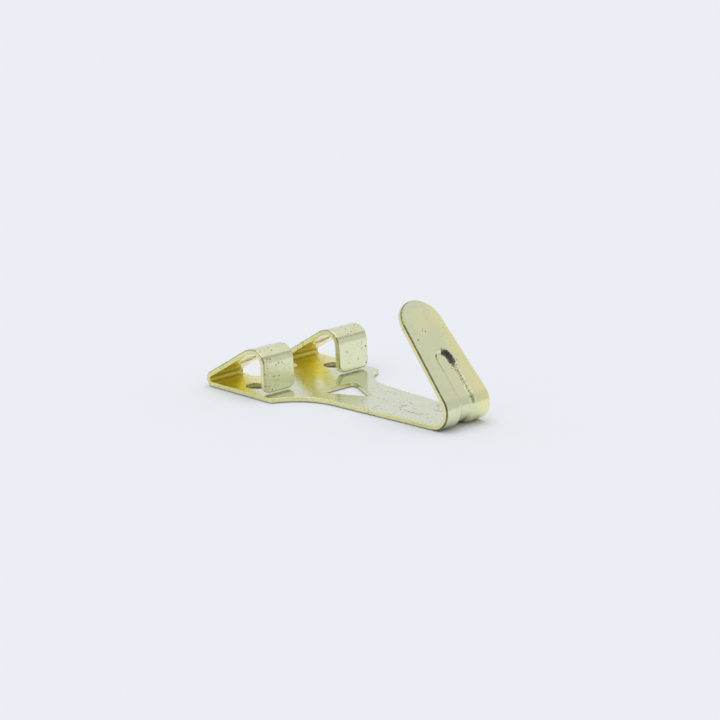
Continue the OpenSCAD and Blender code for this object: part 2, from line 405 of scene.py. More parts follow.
def window_outline():
    """The triangular window, clockwise, its three corners arcs of WINDOW_CORNER_R."""
    side_l = math.hypot(WINDOW_L, WINDOW_W / 2)
    r = WINDOW_CORNER_R
    base_y = WINDOW_W / 2 - r * (side_l + WINDOW_W / 2) / WINDOW_L
    point_x = WINDOW_BASE_X + WINDOW_L - r * side_l / (WINDOW_W / 2)
    base_x = WINDOW_BASE_X + r
    lean = math.atan2(WINDOW_W / 2, WINDOW_L)
    up = math.pi / 2 - lean
    arcs = [arc_points(base_x, -base_y, r, math.pi, math.pi + math.pi / 2 + lean, 25),
            arc_points(point_x, 0, r, -up, up, 17),
            arc_points(base_x, base_y, r, up, math.pi, 25)]
    runs = []
    for i, arc in enumerate(arcs):
        runs += [arc[:-1], line_points(arc[-1], arcs[(i + 1) % 3][0], 16)[:-1]]
    return np.concatenate(runs)[::-1]


def raised(p):
    """Plan points and depths to metres; the plate's faces rise where the groove starts."""
    rise = groove_depth(p[..., 0] - BEND_X, p[..., 1], GROOVE_ARM_L)
    return np.stack([p[..., 0], p[..., 1], p[..., 2] + rise], -1) * MM


def edge_grid(points, closed):
    """The rim's section carried along a plan outline: point = outline - inset * normal, at its depth. The
    ends of an open outline are cut square to X."""
    normal = edge_normals(points, closed)
    if not closed:
        normal[[0, -1]] = np.sign(normal[[0, -1]]) * [0, 1]
    inset = points[:, None, :] - RIM[None, :, :1] * normal[:, None, :]
    depth = np.broadcast_to(RIM[None, :, 1:], inset.shape[:2] + (1,))
    return np.concatenate([inset, depth], -1)


def fill_face(loops, loose):
    """Triangles that fill the first loop and leave the others open, with the loose points among them."""
    starts = np.cumsum([0] + [len(loop) for loop in loops])
    edges = np.concatenate([np.stack([np.arange(a, b), np.append(np.arange(a + 1, b), a)], 1)
                            for a, b in zip(starts[:-1], starts[1:])])
    flat = np.concatenate(loops + [loose])
    made = delaunay_2d_cdt([Vector(p) for p in flat.tolist()], edges.tolist(), [], 0, 1e-6)
    xy = np.array([tuple(p) for p in made[0]])
    known = np.array([o[0] if o else -1 for o in made[3]])
    xy[known >= 0] = flat[known[known >= 0]]
    tri = np.array([tuple(f) for f in made[2]])
    centre = xy[tri].mean(1)
    inside = within(centre, loops[0])
    for loop in loops[1:]:
        inside &= ~within(centre, loop)
    return xy, tri[inside]


def make_back_plate():
    """The plate: two flat faces filled between inset outlines, and a rim section carried along every free
    edge. Both faces rise by the groove's depth near the bend. Its cuts against the folds and the bend are
    square, where the neighbouring pieces carry on."""
    left = side_outline()
    right = left[::-1] * [1, -1]
    left_hole, right_hole = (arc_points(WALL_HOLE_X, y, WALL_HOLE_R, 0, -2 * math.pi, 65)[:-1]
                             for y in (-WALL_HOLE_Y, WALL_HOLE_Y))
    outlines = [(left, False), (right, False), (slot_outline(), False),
                (window_outline(), True), (left_hole, True), (right_hole, True)]
    skin = Skin()
    grids = []
    for points, closed in outlines:
        grid = edge_grid(points, closed)
        skin.add_grid(raised(np.concatenate([grid, grid[:1]]) if closed else grid), RIM_MASKS)
        grids.append(grid)
    g_left, g_right, g_slot = grids[:3]

    share = np.linspace(0, 1, 41)[1:-1, None]
    bend_cut = g_left[-1, 0, :2] * (1 - share) + g_right[0, 0, :2] * share
    outer = np.concatenate([g_left[:, 0, :2], bend_cut, g_right[:, 0, :2], g_slot[:, 0, :2]])
    near_x, near_y = np.meshgrid(BEND_X - np.linspace(FINE_FROM, FINE_TO, 22),
                                 np.linspace(-FINE_TO, FINE_TO, 44))
    loose = np.stack([near_x.ravel(), near_y.ravel()], 1)
    xy, triangles = fill_face([outer] + [g[:, 0, :2] for g in grids[3:]], loose)
    for depth in (0, SHEET):
        index = skin.add_points(raised(np.column_stack([xy, np.full(len(xy), depth)])))
        skin.faces.append(index[triangles])

    cuts = ((g_left[-1], g_right[0], share), (g_right[-1], g_slot[0], []), (g_slot[-1], g_left[0], []))
    for a, b, mids in cuts:
        low = [a[-1] * (1 - t) + b[-1] * t for t in mids]
        top = [a[0] * (1 - t) + b[0] * t for t in mids]
        skin.add_cap(raised(np.array(list(a) + low + list(b[::-1]) + top[::-1])))
    return skin.build("back_plate_sheet")


def within(points, loop):
    """True where a plan point is inside the loop, by counting the edges that a ray towards +X crosses."""
    a, b = loop, np.roll(loop, -1, 0)
    px, py = points[:, :1], points[:, 1:]
    crosses = (a[None, :, 1] > py) != (b[None, :, 1] > py)
    rise = np.where(b[:, 1] == a[:, 1], 1e-12, b[:, 1] - a[:, 1])
    x = a[None, :, 0] + (py - a[None, :, 1]) * (b[:, 0] - a[:, 0])[None, :] / rise[None, :]
    return ((px < x) & crosses).sum(1) % 2 == 1


# ---------------------------------------------------------------- hook: bend and arm

def torn_wall_shade_mask(gs, gv, bend_l, groove_end):
    """How much painted shade the groove's right wall gets; the same mask gives it a ragged bump. on_wall is
    1 over the wall and fades past its sides; the shade grows a little up the arm, and most of all round its
    upper corner: mask = on_wall (TORN_SHADE_LOW + TORN_SHADE_RISE up) + TORN_SHADE_CORNER corner on_wall."""
    past = np.maximum(gs - groove_end, 0)
    wall_mid, wall_half = (GROOVE_FLOOR_HW + GROOVE_HW) / 2, (GROOVE_HW - GROOVE_FLOOR_HW) / 2
    on_wall = smooth_step(TORN_SHADE_REACH - abs(np.hypot(past, gv) - wall_mid) / wall_half)
    on_wall = on_wall * (gv > TORN_SHADE_RIGHT_OF) * (gs > bend_l * TORN_SHADE_FROM)
    up = smooth_step((gs - bend_l) / (groove_end + TORN_SHADE_RISE_PAST - bend_l))
    corner_r = np.hypot(gs - groove_end - TORN_SHADE_CORNER_S, gv - TORN_SHADE_CORNER_V)
    corner = smooth_step((TORN_SHADE_CORNER_R - corner_r) / TORN_SHADE_CORNER_FADE)
    return on_wall * (TORN_SHADE_LOW + TORN_SHADE_RISE * up) + TORN_SHADE_CORNER * corner * on_wall


def make_hook():
    """The bend and the arm: stations along the strip by a ring across it. The width is even through the
    bend, narrows along the arm by ARM_TAPER, and ends in a half circle: s = TIP_AT + R sin p and
    half width = R cos p, for p from the taper's angle to a right angle."""
    bend_l = BEND_TURN * (BEND_RO - SHEET / 2)
    groove_end = bend_l + GROOVE_ARM_L - GROOVE_HW
    arm_side_l = TIP_AT + TIP_R * math.sin(ARM_TAPER)
    shoulder_hw = TIP_R * math.cos(ARM_TAPER)
    on_bend = np.linspace(0, bend_l, 56)[:-1]
    on_arm = np.linspace(0, arm_side_l, 82)[:-1]
    p = np.linspace(ARM_TAPER, math.pi / 2, 42)
    s = np.concatenate([on_bend, bend_l + on_arm, bend_l + TIP_AT + TIP_R * np.sin(p)])
    arm_hw = BEND_HW + (shoulder_hw - BEND_HW) * on_arm / arm_side_l
    half = np.concatenate([0 * on_bend + BEND_HW, arm_hw, TIP_R * np.cos(p)])
    lean = np.concatenate([0 * on_bend, 0 * on_arm + ARM_TAPER, p])
    ns, nv = np.sin(lean), np.cos(lean)

    arm_a = BEND_TURN - math.pi / 2
    arm_x, arm_z = BEND_X + BEND_RO * math.cos(arm_a), BEND_RO + BEND_RO * math.sin(arm_a)
    path = Path([
        arc_run(0, BEND_X, BEND_RO, BEND_RO, -math.pi / 2, 1),
        line_run(bend_l, arm_x, arm_z, arm_a, 1),
    ])

    def depth(ps, pv):
        return groove_depth(ps, pv, groove_end)

    gs, gv, gn, masks = strip_grid(s, (-half, ns, -nv), (half, ns, nv), HOOK_COLUMNS, depth)
    on_outer_face = gn - depth(gs, gv) < SHEET / 2
    # painted shade on the groove's right wall, blackest round its upper corner
    torn_shade = torn_wall_shade_mask(gs, gv, bend_l, groove_end) * on_outer_face
    # the rolled edges' rub and painted shade: all of it on the left edge, a smaller share on the right
    rub_and_shade_by_side = RIGHT_RUB_AND_SHADE + (1 - RIGHT_RUB_AND_SHADE) * smooth_step(-gv / 2)
    masks = np.stack([masks[..., 0], masks[..., 1] * rub_and_shade_by_side, torn_shade], -1)
    skin = Skin()
    skin.add_grid(path.place(gs, gv, gn), masks, closed=True)
    skin.add_cap(path.place(gs[:1], gv[:1], gn[:1]))
    return skin.build("hook_strip")


# ---------------------------------------------------------------- nail loops

def loop_path():
    """A loop's outer face from the side, with the start of each of its five runs along the strip: the arc
    of the fold, the straight ramp, the wide arc that eases into the crest, the crest's own arc and the
    straight leg. Each run starts at the last one's end and takes over its normal."""
    ramp_a = math.pi / 2 + RAMP_TILT
    fold_l = (FOLD_FROM - ramp_a) * (FOLD_RO - SHEET / 2)
    ease_l = EASE_TURN * (EASE_RO - SHEET / 2)
    crest_l = (EASE_FROM - LEG_LEAN) * (CREST_RO - SHEET / 2)
    starts = np.cumsum([0, fold_l, RAMP_L, ease_l, crest_l])
    ramp_x, ramp_z = FOLD_X + FOLD_RO * math.cos(ramp_a), FOLD_RO + FOLD_RO * math.sin(ramp_a)
    leg_x, leg_z = CREST_X + CREST_RO * math.cos(LEG_LEAN), CREST_Z + CREST_RO * math.sin(LEG_LEAN)
    runs = [
        arc_run(0, FOLD_X, FOLD_RO, FOLD_RO, FOLD_FROM, -1),
        line_run(starts[1], ramp_x, ramp_z, ramp_a, -1),
        arc_run(starts[2], EASE_X, EASE_Z, EASE_RO, ramp_a, -1),
        arc_run(starts[3], CREST_X, CREST_Z, CREST_RO, EASE_FROM, -1),
        line_run(starts[4], leg_x, leg_z, LEG_LEAN, -1),
    ]
    return Path(runs), starts


def loop_edges(starts):
    """Stations along a loop, and the two free edges there as (v, normal's s, normal's v). Along the ramp
    each edge goes straight from the head's width to the loop's own. At the leg's end each is a quarter
    circle: it moves in by R (1 - sqrt(1 - t^2)) as t goes from 0 to 1 over the last R."""
    fold_at, ramp_at, ease_at, crest_at, leg_at = starts
    corner_at = leg_at + LEG_L - LEG_CORNER_R
    q = np.linspace(0, math.pi / 2, 22)
    s = np.concatenate([
        np.linspace(fold_at, ramp_at, 30)[:-1],
        np.linspace(ramp_at, ease_at, 48)[:-1],
        np.linspace(ease_at, crest_at, 20)[:-1],
        np.linspace(crest_at, leg_at, 90)[:-1],
        np.linspace(leg_at, corner_at, 16)[:-1],
        corner_at + LEG_CORNER_R * np.sin(q),
    ])
    along = np.clip((s - ramp_at) / RAMP_L, 0, 1)
    t = np.clip(s - corner_at, 0, LEG_CORNER_R) / LEG_CORNER_R
    trim = LEG_CORNER_R * (1 - np.sqrt(1 - t**2))
    inner_shift, outer_shift = LOOP_MID - LOOP_HW - SLOT_HW, LOOP_MID + LOOP_HW - HEAD_HW
    inner = SLOT_HW + inner_shift * along + trim
    outer = HEAD_HW + outer_shift * along - trim
    on_ramp = (s >= ramp_at) & (s < ease_at)
    inner_lean = np.where(on_ramp, math.atan(inner_shift / RAMP_L), np.arcsin(t))
    outer_lean = np.where(on_ramp, -math.atan(outer_shift / RAMP_L), np.arcsin(t))
    inner_edge = (inner, np.sin(inner_lean), -np.cos(inner_lean))
    outer_edge = (outer, np.sin(outer_lean), np.cos(outer_lean))
    return s, inner_edge, outer_edge


def crease_shade(gs, gn, masks, crease_s):
    """The masks with a painted shade line added to the rolled edge's mask, on the outer face just under
    the crease: a bell curve along s.
    """
    line = CREASE_SHADE * np.exp(-(((gs - crease_s - CREASE_SHADE_AT) / CREASE_SHADE_W) ** 2))
    line = line * (gn < SHEET / 2)
    return np.stack([masks[..., 0], np.maximum(masks[..., 1], line), masks[..., 2]], -1)


def guide_hole_block(gs, gv, hole_s):
    """The square block of grid rows and columns round the guide hole, on the outer face: first and last
    row, first and last column, and a mask of the skin's quads without the block on either face."""
    row = int(np.argmin(abs(gs[:, LOOP_COLUMNS // 2] - hole_s)))
    col = int(np.argmin(abs(gv[row, :LOOP_COLUMNS + 1] - LOOP_MID)))
    reach = GUIDE_HOLE_R + GUIDE_BLOCK_MARGIN
    rows = int(round(reach / (gs[row + 1, 0] - gs[row, 0])))
    cols = int(round(reach / (gv[row, 1] - gv[row, 0])))
    r0, r1, c0, c1 = row - rows, row + rows, col - cols, col + cols
    keep = np.ones((gs.shape[0] - 1, gs.shape[1]), bool)
    keep[r0:r1, c0:c1] = False
    back = 2 * LOOP_COLUMNS + 1 + len(RIM) - 2
    keep[r0:r1, back - c1:back - c0] = False
    return r0, r1, c0, c1, keep


def guide_hole_grid(gs, gv, block, hole_s):
    """The guide hole's skin: rays from the block's border to the hole, point = border (1 - t) + rim t, then
    the rim's section carried round the circle of radius R + inset, then rays back on the inner face."""
    r0, r1, c0, c1 = block
    high, wide = r1 - r0, c1 - c0
    rr = np.concatenate([np.arange(r0, r1), np.full(wide, r1), np.arange(r1, r0, -1), np.full(wide, r0)])
    cc = np.concatenate([np.full(high, c0), np.arange(c0, c1), np.full(high, c1), np.arange(c1, c0, -1)])
    border_s, border_v = gs[rr, cc], gv[rr, cc]
    angle = np.arctan2(border_v - LOOP_MID, border_s - hole_s)[:, None]
    ray = np.linspace(0, 1, 4)[None, :-1]
    radius = GUIDE_HOLE_R + RIM[:, 0][None, :]
    rim_s = hole_s + radius * np.cos(angle)
    rim_v = LOOP_MID + radius * np.sin(angle)
    ray_s = border_s[:, None] * (1 - ray) + rim_s[:, :1] * ray
    ray_v = border_v[:, None] * (1 - ray) + rim_v[:, :1] * ray
    hs = np.concatenate([ray_s, rim_s, ray_s[:, ::-1]], 1)
    hv = np.concatenate([ray_v, rim_v, ray_v[:, ::-1]], 1)
    hn = np.concatenate([0 * ray[0], RIM[:, 1], 0 * ray[0] + SHEET])[None, :] + 0 * hs
    plain = np.zeros((ray.shape[1], len(MASKS)))
    hs, hv, hn = (np.concatenate([x, x[:1]]) for x in (hs, hv, hn))
    return hs, hv, hn, np.concatenate([plain, RIM_MASKS, plain])


def make_loop(side, name):
    """One nail loop: fold, ramp, easing curve, crest and front leg, as stations along the strip by a ring
    across it, with a rim along the leg's lower end and the guide hole through the ramp. The crease stands
    proud by CREASE_H e^-(d/w)^2, where d is the distance from it and w is CREASE_W. The left loop is the
    right one mirrored: y becomes -y."""
    path, starts = loop_path()
    s, inner_edge, outer_edge = loop_edges(starts)
    crease_s = starts[3] + (EASE_FROM - CREASE_AT) * (CREST_RO - SHEET / 2)
    hole_s = starts[1] + GUIDE_HOLE_AT

    def crease(ps, pv):
        return -CREASE_H * np.exp(-(((ps - crease_s) / CREASE_W) ** 2))

    def place(ps, pv, pn):
        return path.place(ps, pv, pn) * [1, side, 1]

    gs, gv, gn, masks = strip_grid(s, inner_edge, outer_edge, LOOP_COLUMNS, crease)
    masks = crease_shade(gs, gn, masks, crease_s)
    *block, keep = guide_hole_block(gs, gv, hole_s)
    es, ev, en, end_masks = end_grid(starts[4] + LEG_L, inner_edge[0][-1], outer_edge[0][-1], LOOP_COLUMNS)
    hs, hv, hn, hole_masks = guide_hole_grid(gs, gv, block, hole_s)
    skin = Skin()
    skin.add_grid(place(gs, gv, gn), masks, closed=True, keep=keep)
    skin.add_cap(place(gs[:1], gv[:1], gn[:1]))
    skin.add_grid(place(es, ev, en), end_masks)
    skin.add_grid(place(hs, hv, hn), hole_masks)
    return skin.build(name)


# ---------------------------------------------------------------- shader groups

def new_group(name, inputs, outputs):
    """A shader node group with sockets (kind, name, default) going in and (kind, name) coming out."""
    group = bpy.data.node_groups.new(name, "ShaderNodeTree")
    for kind, label, value in inputs:
        socket = group.interface.new_socket(name=label, in_out="INPUT", socket_type="NodeSocket" + kind)
        if value is not None:
            socket.default_value = value
    for kind, label in outputs:
        group.interface.new_socket(name=label, in_out="OUTPUT", socket_type="NodeSocket" + kind)
    return group, group.nodes.new("NodeGroupInput"), group.nodes.new("NodeGroupOutput")


def feed(tree, socket, value):
    """Links the value to the socket if it is another node's socket, and otherwise sets it there."""
    if isinstance(value, bpy.types.NodeSocket):
        tree.links.new(value, socket)
    else:
        socket.default_value = value


def add(tree, kind, ins, **settings):
    """A node with its properties set and its inputs fed, each by its name or number."""
    node = tree.nodes.new("ShaderNode" + kind)
    for key, value in settings.items():
        setattr(node, key, value)
    for label, value in ins.items():
        feed(tree, node.inputs[label], value)
    return node


def group_node(tree, group, **ins):
    """A group's node with its inputs fed; an underscore in a name stands for a space."""
    node = tree.nodes.new("ShaderNodeGroup")
    node.node_tree = group
    for label, value in ins.items():
        feed(tree, node.inputs[label.replace("_", " ")], value)
    return node


def noise(tree, vector, scale, detail):
    """A noise value between 0 and 1, that turns finer with scale and more broken with detail."""
    ins = {"Vector": vector, "Scale": scale, "Detail": detail, "Roughness": 0.55}
    return add(tree, "TexNoise", ins).outputs["Fac"]


def ramp_range(tree, value, low, high, to_low=0.0, to_high=1.0):
    """The value carried smoothly from low..high to to_low..to_high, held at both ends."""
    ins = {"Value": value, "From Min": low, "From Max": high, "To Min": to_low, "To Max": to_high}
    return add(tree, "MapRange", ins, interpolation_type="SMOOTHSTEP").outputs["Result"]


def math_node(tree, op, a, b=0.0):
    """The value that one arithmetic step makes of a and b, or of a alone."""
    return add(tree, "Math", {0: a, 1: b}, operation=op).outputs[0]


def plus_share(tree, value, mask, share):
    """value + mask * share."""
    return math_node(tree, "ADD", value, math_node(tree, "MULTIPLY", mask, share))


def vector_node(tree, op, a, b):
    """The vector that one arithmetic step makes of two vectors."""
    return add(tree, "VectorMath", {0: a, 1: b}, operation=op).outputs["Vector"]


def distance_from(tree, place, centre, axes):
    """Distance of place from centre, counted along the axes that have a 1."""
    off = vector_node(tree, "MULTIPLY", vector_node(tree, "SUBTRACT", place, centre), axes)
    return add(tree, "VectorMath", {0: off}, operation="LENGTH").outputs["Value"]


def mix_color(tree, factor, a, b):
    """The colour that goes from a to b as factor goes from 0 to 1."""
    node = tree.nodes.new("ShaderNodeMix")
    node.data_type = "RGBA"
    for socket, value in ((node.inputs[0], factor), (node.inputs[6], a), (node.inputs[7], b)):
        feed(tree, socket, value)
    return node.outputs[2]


def build_plating_tone():
    """Cloudy change of tint in the plating: a broad noise goes between the two tones, a finer one adds a
    cool bloom."""
    g, i, o = new_group("plating_tone", [
        ("Vector", "Vector", None),
        ("Color", "Tone", (0.8, 0.76, 0.45, 1)),
        ("Color", "Deeper", (0.7, 0.6, 0.3, 1)),
        ("Color", "Bloom", (0.8, 0.85, 0.75, 1)),
        ("Float", "Cloud Size", 160.0),
        ("Float", "Bloom Amount", 0.3),
    ], [("Color", "Color")])
    v, size = i.outputs["Vector"], i.outputs["Cloud Size"]
    broad = ramp_range(g, noise(g, v, size, 2.0), 0.42, 0.68)
    fine = ramp_range(g, noise(g, v, size, 5.0), 0.45, 0.62)
    bloom = math_node(g, "MULTIPLY", fine, i.outputs["Bloom Amount"])
    color = mix_color(g, broad, i.outputs["Tone"], i.outputs["Deeper"])
    g.links.new(mix_color(g, bloom, color, i.outputs["Bloom"]), o.inputs["Color"])
    return g


def build_pits():
    """Dark specks and pin pits: small cells of a Voronoi pattern, kept where a broader noise allows. A
    speck's radius is its cell's random value times Speck Size; a fine noise makes its outline ragged."""
    g, i, o = new_group("pits", [
        ("Vector", "Vector", None),
        ("Float", "Cell Scale", 1400.0),
        ("Float", "Speck Size", 0.16),
        ("Float", "Patch Scale", 220.0),
        ("Float", "Patch Level", 0.6),
    ], [("Float", "Mask"), ("Float", "Height")])
    v = i.outputs["Vector"]
    bend = add(g, "TexNoise", {"Vector": v, "Scale": 2600.0, "Detail": 1.0}).outputs["Color"]
    wobble = add(g, "VectorMath", {0: bend, "Scale": 0.00005}, operation="SCALE").outputs["Vector"]
    moved = vector_node(g, "ADD", v, wobble)
    cells = add(g, "TexVoronoi", {"Vector": moved, "Scale": i.outputs["Cell Scale"], "Randomness": 1.0})
    size = math_node(g, "MULTIPLY", cells.outputs["Color"], i.outputs["Speck Size"])
    dot = ramp_range(g, math_node(g, "SUBTRACT", size, cells.outputs["Distance"]), 0.0, 0.06)
    patch = noise(g, v, i.outputs["Patch Scale"], 2.0)
    allow = ramp_range(g, math_node(g, "SUBTRACT", patch, i.outputs["Patch Level"]), -0.04, 0.06)
    mask = math_node(g, "MULTIPLY", dot, allow)
    g.links.new(mask, o.inputs["Mask"])
    g.links.new(math_node(g, "MULTIPLY", mask, -1.0), o.inputs["Height"])
    return g


def build_rub():
    """Fine handling scratches and the strip's own soft unevenness: stretched noise for the first, broad
    noise for the second. Haze is high where the scratches are dense."""
    g, i, o = new_group("rub", [
        ("Vector", "Vector", None),
        ("Float", "Grain Scale", 3000.0),
        ("Float", "Wave Scale", 180.0),
        ("Float", "Grain Depth", 0.03),
        ("Float", "Wave Depth", 1.0),
    ], [("Float", "Height"), ("Float", "Haze")])
    v = i.outputs["Vector"]
    turned = add(g, "Mapping", {"Vector": v, "Rotation": (0, 0.4, 0.15)}).outputs["Vector"]
    stretched = vector_node(g, "MULTIPLY", turned, (0.06, 1.0, 1.0))
    streak = noise(g, stretched, i.outputs["Grain Scale"], 3.0)
    wave = noise(g, v, i.outputs["Wave Scale"], 1.0)
    grain = math_node(g, "MULTIPLY", streak, i.outputs["Grain Depth"])
    g.links.new(plus_share(g, grain, wave, i.outputs["Wave Depth"]), o.inputs["Height"])
    g.links.new(ramp_range(g, streak, 0.4, 0.75), o.inputs["Haze"])
    return g


def build_uneven_wear_and_shade():
    """A mask from the piece's own attribute, broken up by a fine noise, so that an edge's wear, or the
    painted shade that it carries, looks uneven: mask = edge (1 - unevenness * noise)."""
    g, i, o = new_group("uneven_wear_and_shade_mask", [
        ("Vector", "Vector", None),
        ("Float", "Edge", 0.0),
        ("Float", "Unevenness", 0.3),
        ("Float", "Grain", 1500.0),
    ], [("Float", "Mask")])
    edge = i.outputs["Edge"]
    rough = ramp_range(g, noise(g, i.outputs["Vector"], i.outputs["Grain"], 3.0), 0.38, 0.6)
    broken = math_node(g, "MULTIPLY", rough, i.outputs["Unevenness"])
    lost = math_node(g, "MULTIPLY", broken, edge)
    g.links.new(math_node(g, "SUBTRACT", edge, lost), o.inputs["Mask"])
    return g


def build_painted_fold_shade():
    """How far a place is inside the folds, as a mask for painted shade there: 0.3 at their inner face,
    fading to nothing in the sheet, by the distance from the folds' axis."""
    g, i, o = new_group("painted_fold_shade", [("Vector", "Vector", None)], [("Float", "Mask")])
    away = distance_from(g, i.outputs["Vector"], FOLD_AXIS, (1, 0, 1))
    g.links.new(ramp_range(g, away, 0.00052, 0.0008, 0.3, 0.0), o.inputs["Mask"])
    return g


def build_painted_bounce_gold():
    """Painted reflection and shade: a deeper gold where light bounces between the plate and the ramps'
    inner faces: Strength up to From X, fading to 0 at To X. It is held back outside the ramps, by the
    distance from the plane through the folds' axis along the ramps, and on the wall side and round the
    folds."""
    g, i, o = new_group("painted_bounce_gold", [
        ("Vector", "Vector", None),
        ("Float", "From X", 0.0),
        ("Float", "To X", 0.0),
        ("Float", "Strength", 0.9),
    ], [("Float", "Mask")])
    v = i.outputs["Vector"]
    place = add(g, "SeparateXYZ", {"Vector": v}).outputs
    off = vector_node(g, "SUBTRACT", v, FOLD_AXIS)
    above = add(g, "VectorMath", {0: off, 1: RAMP_NORMAL}, operation="DOT_PRODUCT").outputs["Value"]
    mask = ramp_range(g, place["X"], i.outputs["From X"], i.outputs["To X"], i.outputs["Strength"], 0.0)
    under_ramp = ramp_range(g, above, 0.0009, 0.00125, 1.0, 0.0)
    off_wall = ramp_range(g, place["Z"], 0.0003, 0.0008)
    past_fold = ramp_range(g, place["X"], FOLD_X * MM - 0.00075, FOLD_X * MM - 0.0005)
    for part in (under_ramp, off_wall, past_fold):
        mask = math_node(g, "MULTIPLY", mask, part)
    g.links.new(mask, o.inputs["Mask"])
    return g


TONE, PITS, RUB = build_plating_tone(), build_pits(), build_rub()
UNEVEN_WEAR_AND_SHADE, PAINTED_FOLD_SHADE, PAINTED_BOUNCE = build_uneven_wear_and_shade(), build_painted_fold_shade(), build_painted_bounce_gold()


# ---------------------------------------------------------------- materials

def stain_ring(tree, coord, height, x, y, radius):
    """A ring of dots left by a dried drop, as a mask: the distance from a circle about (x, y), on the
    inner face only, times a pattern of specks."""
    off = math_node(tree, "SUBTRACT", distance_from(tree, coord, (x, y, 0), (1, 1, 0)), radius)
    near = ramp_range(tree, math_node(tree, "ABSOLUTE", off), 0.0002, 0.0009, 0.9, 0.0)
    ring = math_node(tree, "MULTIPLY", near, ramp_range(tree, height, 0.0005, 0.0008))
    dots = group_node(tree, PITS, Vector=coord, Cell_Scale=2000.0, Speck_Size=0.8, Patch_Scale=420.0,
                      Patch_Level=0.42)
    return math_node(tree, "MULTIPLY", ring, dots.outputs["Mask"])


def plated_steel(name, tone, deeper, bloom_amount, roughness, speck, patch_level, cell_scale, pepper,
                 rolled_rub_and_shade, bounce_zone=None, warm_side=None, stain=None):
    """Bright pale-yellow plating over steel under a clear passivated film. The tint drifts, the sheared
    walls keep a warmer gold, the rolled edges are darker from rubbing and from painted shade, dark specks
    and a fine pepper break the gloss, the groove's right wall gets painted shade, and the plating is dull
    inside the folds and painted brown there as shade. The zone option is (tone, x from, x to, strength):
    where a deeper gold is painted as light reflected between the plate and the ramps' inner faces.
    warm_side is (tone, y from, y to, strength): where it turns warmer across the strip. stain is
    (x, y, radius): a ring of brown dots left by a dried drop."""
    material = bpy.data.materials.new(name)
    material.use_nodes = True
    tree = material.node_tree
    tree.nodes.clear()
    coord = tree.nodes.new("ShaderNodeTexCoord").outputs["Object"]
    place = add(tree, "SeparateXYZ", {"Vector": coord}).outputs
    tint = group_node(tree, TONE, Vector=coord, Tone=tone, Deeper=deeper, Bloom=PALE_TEAL,
                      Bloom_Amount=bloom_amount)
    color = tint.outputs["Color"]
    # painted reflection: a deeper gold where light bounces between the plate and the ramps
    if bounce_zone:
        bounce_tone, x0, x1, strength = bounce_zone
        bounce = group_node(tree, PAINTED_BOUNCE, Vector=coord, From_X=x0, To_X=x1, Strength=strength)
        color = mix_color(tree, bounce.outputs["Mask"], color, bounce_tone)
    if warm_side:
        side_tone, y0, y1, strength = warm_side
        color = mix_color(tree, ramp_range(tree, place["Y"], y0, y1, 0.0, strength), color, side_tone)
    # painted shade: brown inside the folds
    fold_shade_mask = group_node(tree, PAINTED_FOLD_SHADE, Vector=coord).outputs["Mask"]
    color = mix_color(tree, fold_shade_mask, color, FOLD_SHADE_BROWN)

    masks = [add(tree, "Attribute", {}, attribute_name=label).outputs["Fac"] for label in MASKS]
    cut = group_node(tree, UNEVEN_WEAR_AND_SHADE, Vector=coord, Edge=masks[0], Unevenness=0.12).outputs["Mask"]
    rolled = group_node(tree, UNEVEN_WEAR_AND_SHADE, Vector=coord, Edge=masks[1], Unevenness=0.15).outputs["Mask"]
    torn_shade = group_node(tree, UNEVEN_WEAR_AND_SHADE, Vector=coord, Edge=masks[2], Unevenness=0.84,
                      Grain=5600.0).outputs["Mask"]
    color = mix_color(tree, cut, color, EDGE_GOLD)
    # rub and painted shade on the rolled edges, and the painted shade line under each crease
    color = mix_color(tree, math_node(tree, "MULTIPLY", rolled, rolled_rub_and_shade), color, GRIME_AND_SHADE)
    # painted shade on the groove's right wall
    color = mix_color(tree, torn_shade, color, GROOVE_WALL_SHADE)

    pits = group_node(tree, PITS, Vector=coord, Cell_Scale=cell_scale, Speck_Size=speck,
                      Patch_Scale=240.0, Patch_Level=patch_level)
    fine = group_node(tree, PITS, Vector=coord, Cell_Scale=5200.0, Speck_Size=0.55,
                      Patch_Scale=420.0, Patch_Level=patch_level - 0.06)
    color = mix_color(tree, math_node(tree, "MULTIPLY", fine.outputs["Mask"], pepper), color, GRIME_AND_SHADE)
    open_face = plus_share(tree, 0.8, cut, -0.5)
    color = mix_color(tree, math_node(tree, "MULTIPLY", pits.outputs["Mask"], open_face), color, GRIME_AND_SHADE)
    if stain:
        color = mix_color(tree, stain_ring(tree, coord, place["Z"], *stain), color, STAIN_BROWN)

    rub = group_node(tree, RUB, Vector=coord)
    rough = plus_share(tree, roughness, rub.outputs["Haze"], 0.05)
    rough = plus_share(tree, rough, cut, 0.12)
    rough = plus_share(tree, rough, fold_shade_mask, 0.3)
    if bounce_zone:
        rough = plus_share(tree, rough, bounce.outputs["Mask"], 0.18)
    rough = plus_share(tree, rough, pits.outputs["Mask"], 0.3)
    height = plus_share(tree, rub.outputs["Height"], pits.outputs["Height"], 1.2)
    height = plus_share(tree, height, torn_shade, -1.5)
    bump = add(tree, "Bump", {"Strength": 0.35, "Distance": 0.00004, "Height": height})
    shader = add(tree, "BsdfPrincipled", {
        "Base Color": color, "Roughness": rough, "Metallic": 1.0,
        "Coat Weight": 1.0, "Coat Roughness": 0.1, "Normal": bump.outputs[0],
    })
    out = tree.nodes.new("ShaderNodeOutputMaterial")
    tree.links.new(shader.outputs[0], out.inputs[0])
    return material


PALE = (0.78, 0.805, 0.52, 1)
PALE_PLATE = (0.80, 0.84, 0.585, 1)
PALE_LOOP = (0.84, 0.87, 0.56, 1)
PALE_WARM = (0.86, 0.82, 0.45, 1)
PALE_TEAL = (0.79, 0.88, 0.70, 1)
